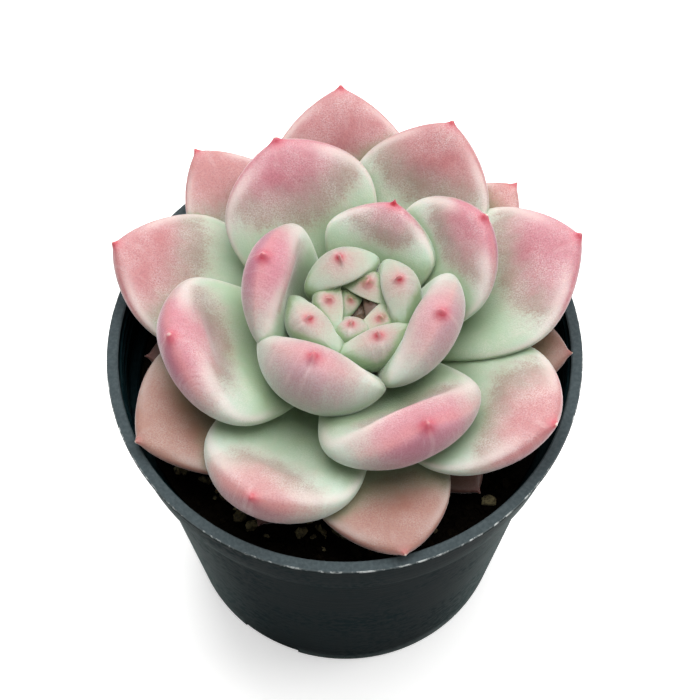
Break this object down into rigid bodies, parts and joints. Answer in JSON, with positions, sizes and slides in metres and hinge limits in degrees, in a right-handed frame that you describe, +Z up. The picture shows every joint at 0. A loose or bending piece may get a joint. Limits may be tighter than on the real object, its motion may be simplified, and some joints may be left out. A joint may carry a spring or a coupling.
{
  "type": "potted succulent",
  "caption": "Rosette succulent with plump pink-tipped leaves in a thin round nursery pot filled with dark soil.",
  "frame": {"origin": "centre of the pot's foot, on the surface it stands on", "axes": "+Z up along the pot's axis, -Y towards the side seen in the picture, +X to the right in the picture"},
  "size_m": [0.0992, 0.1056, 0.113],
  "materials": {
    "pot_plastic": "dark green-black, semi-matte, lightly scuffed",
    "soil": "moist loose potting mix with grit",
    "stem": "woody, matte",
    "young_leaf": "pale green with a powdery bloom",
    "leaf": "mint green to rose pink with a powdery bloom"
  },
  "bodies": {
    "root": {"pot": "pot_plastic", "soil": "soil", "stem": "stem", "heart": "young_leaf", "leaf_01": "young_leaf", "leaf_02": "young_leaf", "leaf_03": "young_leaf", "leaf_04": "young_leaf", "leaf_05": "young_leaf", "leaf_06": "leaf", "leaf_07": "leaf", "leaf_08": "leaf", "leaf_09": "leaf", "leaf_10": "leaf", "leaf_11": "leaf", "leaf_12": "leaf", "leaf_13": "leaf", "leaf_14": "leaf", "leaf_15": "leaf", "leaf_16": "leaf", "leaf_17": "leaf", "leaf_18": "leaf", "leaf_19": "leaf", "leaf_20": "leaf", "leaf_21": "leaf", "leaf_22": "leaf", "leaf_23": "leaf", "leaf_24": "leaf", "leaf_25": "leaf", "leaf_26": "leaf", "leaf_27": "leaf"}
  },
  "joints": []
}
